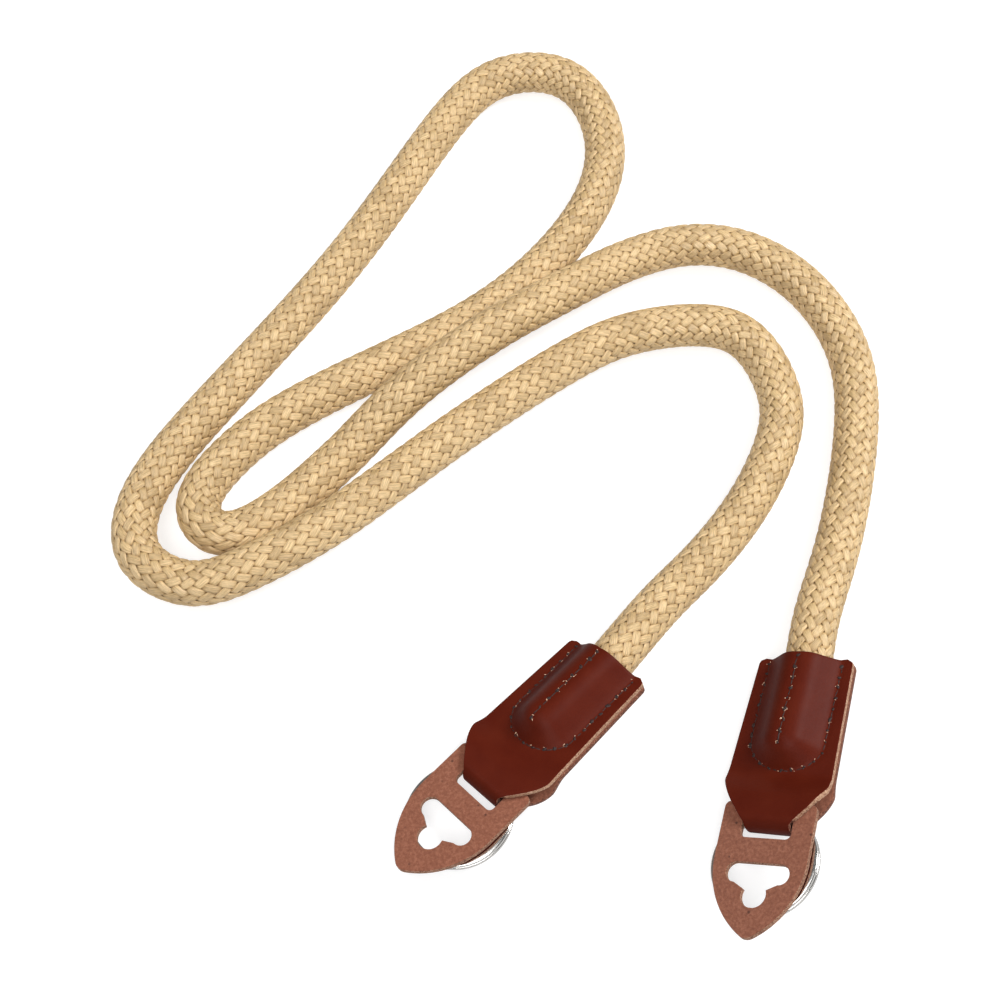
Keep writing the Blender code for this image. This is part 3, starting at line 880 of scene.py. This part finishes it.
def sew_row(bm, end, row, side, dice):
    """Uneven stitches between the row's holes, dark knots at each hole, and torn pale leather by most."""
    for first, second in zip(row, row[1:]):
        middle = ((first[0] + second[0]) / 2, (first[1] + second[1]) / 2)
        frame = skin_frame(end, *middle, side)
        ends = [skin_frame(end, *point, side).translation for point in (first, second)]
        heading = frame.inverted().to_3x3() @ (ends[1] - ends[0])
        turn = Matrix.Rotation(math.atan2(heading.y, heading.x) + dice.uniform(*STITCH_TURN), 4, "Z")
        length = heading.length * dice.uniform(*STITCH_LENGTH)
        sunk = Matrix.Translation((0, dice.uniform(*STITCH_SHIFT) * MM, -STITCH_DEPTH))
        size = (length, THREAD_WIDTH * dice.uniform(*STITCH_THICKNESS), THREAD_HEIGHT)
        add_blob(bm, frame @ sunk @ turn, size, 0)
    for point in row:
        frame = skin_frame(end, *point, side)
        for _ in range(dice.integers(*KNOT_COUNT)):
            knot = dice.uniform(*KNOT_LENGTH) * MM
            shift = (dice.uniform(*KNOT_SHIFT_ALONG) * MM, dice.uniform(*KNOT_SHIFT_ACROSS) * MM, 0)
            spin = Matrix.Rotation(dice.uniform(0, math.pi), 4, "Z")
            size = (knot, knot * dice.uniform(*KNOT_THICKNESS), KNOT_HEIGHT)
            add_blob(bm, frame @ Matrix.Translation(shift) @ spin, size, 0)
        for _ in range(dice.integers(*FLECK_COUNT)):
            round_it = Matrix.Rotation(dice.uniform(0, 2 * math.pi), 4, "Z")
            away = Matrix.Translation((dice.uniform(*FLECK_DISTANCE) * MM, 0, FLECK_LIFT))
            spin = Matrix.Rotation(dice.uniform(0, math.pi), 4, "Z")
            fleck = (dice.uniform(*FLECK_LENGTH) * MM, dice.uniform(*FLECK_WIDTH) * MM, FLECK_HEIGHT)
            add_blob(bm, frame @ round_it @ away @ spin, fleck, 1)


def make_sewing(letter, end, thread, torn):
    """The sewing of one cover, seen on both its faces."""
    dice = np.random.default_rng(ord(letter))
    bm = bmesh.new()
    for side in (1, -1):
        for row in (u_seam(), middle_seam()):
            sew_row(bm, end, row, side, dice)
    name = f"sewing_{letter}"
    piece = add_piece(name, mesh_from(bm, name), thread, torn)


def guard_frame(end):
    """The frame of the guard and ring, which swing on the neck together."""
    pivot = Matrix.Translation((GUARD_PIVOT, 0, 0))
    swing = Matrix.Rotation(math.radians(end["swing"]), 4, "Z")
    return spine(end, 0) @ pivot @ swing @ pivot.inverted()


def arc(centre, radius, start, end, count):
    """Points on an arc in the plane, with its angles in degrees."""
    angles = [math.radians(mix(start, end, i / (count - 1))) for i in range(count)]
    return [(centre[0] + radius * math.cos(a), centre[1] + radius * math.sin(a)) for a in angles]


def mirrored(half):
    """A closed outline from its right half, whose first and last points lie off the axis."""
    return half + [(x, -y) for x, y in reversed(half)]


def guard_outline():
    """A straight-sided top with small round corners, long arcs, and a round tip that meets them."""
    side = GUARD_WIDTH / 2
    corner = (GUARD_TOP - GUARD_CORNER, side - GUARD_CORNER)
    centre = (GUARD_STRAIGHT_END, side - GUARD_SIDE_RADIUS)
    inner = GUARD_SIDE_RADIUS - GUARD_TIP_RADIUS
    reach = math.degrees(math.acos(-centre[1] / inner))
    tip = (centre[0] - math.sqrt(inner**2 - centre[1] ** 2), 0.0)
    half = arc(corner, GUARD_CORNER, 0, 90, CORNER_POINTS)
    half += arc(centre, GUARD_SIDE_RADIUS, 90, 90 + reach, SIDE_POINTS)
    half += arc(tip, GUARD_TIP_RADIUS, 90 + reach, TIP_END, CORNER_POINTS)[1:]
    return mirrored(half)


def slot_outline():
    """The slot that the cover's neck passes through, with round corners."""
    half_width = COVER_NECK_WIDTH / 2 + SLOT_SIDE_CLEARANCE
    top = (SLOT_HEIGHT - SLOT_CORNER, half_width - SLOT_CORNER)
    low = (SLOT_CORNER, half_width - SLOT_CORNER)
    half = arc(top, SLOT_CORNER, 0, 90, CORNER_POINTS)
    half += arc(low, SLOT_CORNER, 90, 180, CORNER_POINTS)
    return mirrored(half)


def hole_outline():
    """The three-lobed hole: a wide bar, and below it a round lobe between two cusps."""
    bar = (HOLE_TOP - HOLE_BAR_RADIUS, HOLE_WIDTH / 2 - HOLE_BAR_RADIUS)
    cusp = math.degrees(math.asin(HOLE_CUSP_WIDTH / 2 / HOLE_LOBE_RADIUS))
    half = arc(bar, HOLE_BAR_RADIUS, 0, 180, BAR_POINTS)
    half += arc((HOLE_LOBE_CENTRE, 0), HOLE_LOBE_RADIUS, cusp, LOBE_END, LOBE_POINTS)
    return mirrored(half)


def make_guard(letter, end, flesh, grain, edge):
    """The flat leather leaf: its outline and its two holes filled between, raised to the leather's
    thickness, its edges worn round."""
    bm = bmesh.new()
    front = bm.verts.layers.float.new("front")
    for outline in (guard_outline(), slot_outline(), hole_outline()):
        corners = [bm.verts.new((x, y, GUARD_LEATHER / 2)) for x, y in outline]
        for first, second in zip(corners, corners[1:] + corners[:1]):
            bm.edges.new((first, second))
    bmesh.ops.triangle_fill(bm, edges=bm.edges[:], use_beauty=True, normal=(0, 0, 1))
    low = bmesh.ops.extrude_face_region(bm, geom=bm.faces[:])["geom"]
    bmesh.ops.translate(bm, verts=only(bmesh.types.BMVert, low), vec=(0, 0, -GUARD_LEATHER))
    bmesh.ops.recalc_face_normals(bm, faces=bm.faces[:])
    for face in bm.faces:
        face.material_index = 0 if face.normal.z > 0.5 else 1 if face.normal.z < -0.5 else 2
    for vertex in bm.verts:
        # The guard's edge tone lies part way between the pale tone and the darker painted-shade tone.
        vertex[front] = GUARD_EDGE_PALENESS
    rim = [e for e in bm.edges if len(e.link_faces) == 2 and e.calc_face_angle() > GUARD_EDGE_ANGLE]
    bmesh.ops.bevel(
        bm,
        geom=rim,
        offset=GUARD_EDGE_WEAR,
        segments=EDGE_SEGMENTS,
        profile=0.5,
        affect="EDGES",
        material=-1,
    )
    place = guard_frame(end) @ Matrix.Translation((0, 0, GUARD_MIDDLE))
    bmesh.ops.transform(bm, verts=bm.verts[:], matrix=place)
    name = f"guard_{letter}_leather"
    piece = add_piece(name, mesh_from(bm, name), flesh, grain, edge)
    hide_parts(f"guard_{letter}")


def make_ring(letter, end, nickel):
    """The split ring: a rounded flat bar swept round one turn, up a short step and round the second."""
    radius = (RING_DIAMETER - RING_WIRE_WIDTH) / 2
    rise = RING_WIRE_HEIGHT + RING_TURN_GAP
    bm = bmesh.new()
    bmesh.ops.create_grid(bm, x_segments=1, y_segments=1, size=0.5)
    bmesh.ops.scale(bm, vec=(RING_WIRE_WIDTH, RING_WIRE_HEIGHT, 1), verts=bm.verts[:])
    bmesh.ops.bevel(
        bm,
        geom=bm.verts[:],
        offset=RING_EDGE_WEAR,
        segments=3,
        profile=0.5,
        affect="VERTICES",
        material=-1,
    )
    bmesh.ops.rotate(bm, verts=bm.verts[:], matrix=Matrix.Rotation(math.pi / 2, 3, "X"))
    bmesh.ops.translate(bm, verts=bm.verts[:], vec=(radius, 0, -rise / 2))
    section = bm.faces[:]
    turn = 2 * math.pi - RING_STEP_ANGLE - RING_END_GAP
    for angle, lift in ((turn, 0.0), (RING_STEP_ANGLE, rise), (turn, 0.0)):
        steps = max(RING_LEAST_STEPS, round(RING_TURN_STEPS * angle / (2 * math.pi)))
        swept = bmesh.ops.spin(
            bm,
            geom=section,
            cent=(0, 0, 0),
            axis=(0, 0, 1),
            dvec=(0, 0, lift / steps),
            angle=angle,
            steps=steps,
            use_duplicate=False,
        )
        section = only(bmesh.types.BMFace, swept["geom_last"])
    bmesh.ops.remove_doubles(bm, verts=bm.verts[:], dist=0.001 * MM)
    bmesh.ops.recalc_face_normals(bm, faces=bm.faces[:])
    place = guard_frame(end) @ Matrix.Translation((RING_CENTRE, 0, RING_MIDDLE))
    bmesh.ops.transform(bm, verts=bm.verts[:], matrix=place)
    name = f"ring_{letter}_nickel"
    mesh = mesh_from(bm, name)
    mesh.shade_smooth()
    piece = add_piece(name, mesh, nickel)
    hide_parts(f"ring_{letter}")


def make_ends():
    grain = make_grain_side()
    flesh = make_flesh_side()
    edge = make_cut_edge()
    thread = make_thread()
    torn = make_torn_leather()
    nickel = make_nickel()
    for letter, end in ENDS.items():
        make_cover(letter, end, grain, flesh, edge)
        make_sewing(letter, end, thread, torn)
        make_guard(letter, end, flesh, grain, edge)
        make_ring(letter, end, nickel)


def make_camera():
    camera = bpy.data.objects.new("camera", bpy.data.cameras.new("camera"))
    bpy.context.scene.collection.objects.link(camera)
    camera.data.lens = CAMERA_LENS_MM
    camera.data.sensor_width = CAMERA_SENSOR_MM
    camera.data.clip_start = CAMERA_CLIP_START
    back = Vector((0, -math.cos(CAMERA_ELEVATION), math.sin(CAMERA_ELEVATION)))
    camera.location = Vector(LOOK_AT) + CAMERA_DISTANCE * back
    camera.rotation_euler = (math.pi / 2 - CAMERA_ELEVATION, 0, 0)
    bpy.context.scene.camera = camera


def make_floor():
    bm = bmesh.new()
    bmesh.ops.create_grid(bm, x_segments=1, y_segments=1, size=FLOOR_HALF_SIZE)
    bmesh.ops.translate(bm, verts=bm.verts[:], vec=(LOOK_AT[0], LOOK_AT[1], -FLOOR_DROP))
    floor = bpy.data.objects.new("floor", mesh_from(bm, "floor"))
    bpy.context.scene.collection.objects.link(floor)
    m = Nodes("pale_floor")
    m.put(m.shader, "Base Color", FLOOR_GREY)
    m.put(m.shader, "Roughness", 0.9)
    m.put(m.shader, "Specular IOR Level", 0.0)
    m.put(m.shader, "Emission Color", (1.0, 1.0, 1.0, 1.0))
    mirrored_ray = m.add("LightPath").outputs["Is Glossy Ray"]
    m.put(m.shader, "Emission Strength", m.scale(mirrored_ray, FLOOR_GLOW, FLOOR_GLOW_MIRRORED))
    floor.data.materials.append(m.material)


def add_light(name, azimuth, elevation, distance, size, watts):
    """A soft square light, aimed at the strap."""
    light = bpy.data.objects.new(name, bpy.data.lights.new(name, "AREA"))
    bpy.context.scene.collection.objects.link(light)
    light.data.size = size
    light.data.energy = watts
    turn, rise = math.radians(azimuth), math.radians(elevation)
    away = Vector((math.cos(turn) * math.cos(rise), math.sin(turn) * math.cos(rise), math.sin(rise)))
    light.location = Vector(LOOK_AT) + distance * away
    light.rotation_euler = away.to_track_quat("Z", "Y").to_euler()


def make_lights():
    """A key from the right, a broad light from the camera's side, a weak one from the left and a faint
    even world."""
    bpy.context.scene.view_settings.view_transform = "Standard"
    for name, values in LIGHTS.items():
        add_light(name, **values)
    world = bpy.data.worlds.new("studio")
    bpy.context.scene.world = world
    world.use_nodes = True
    background = world.node_tree.nodes["Background"]
    background.inputs["Color"].default_value = (1, 1, 1, 1)
    background.inputs["Strength"].default_value = WORLD_STRENGTH


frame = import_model()
make_camera()
make_floor()
make_lights()
path = RopePath()
make_rope(path)
make_ends()
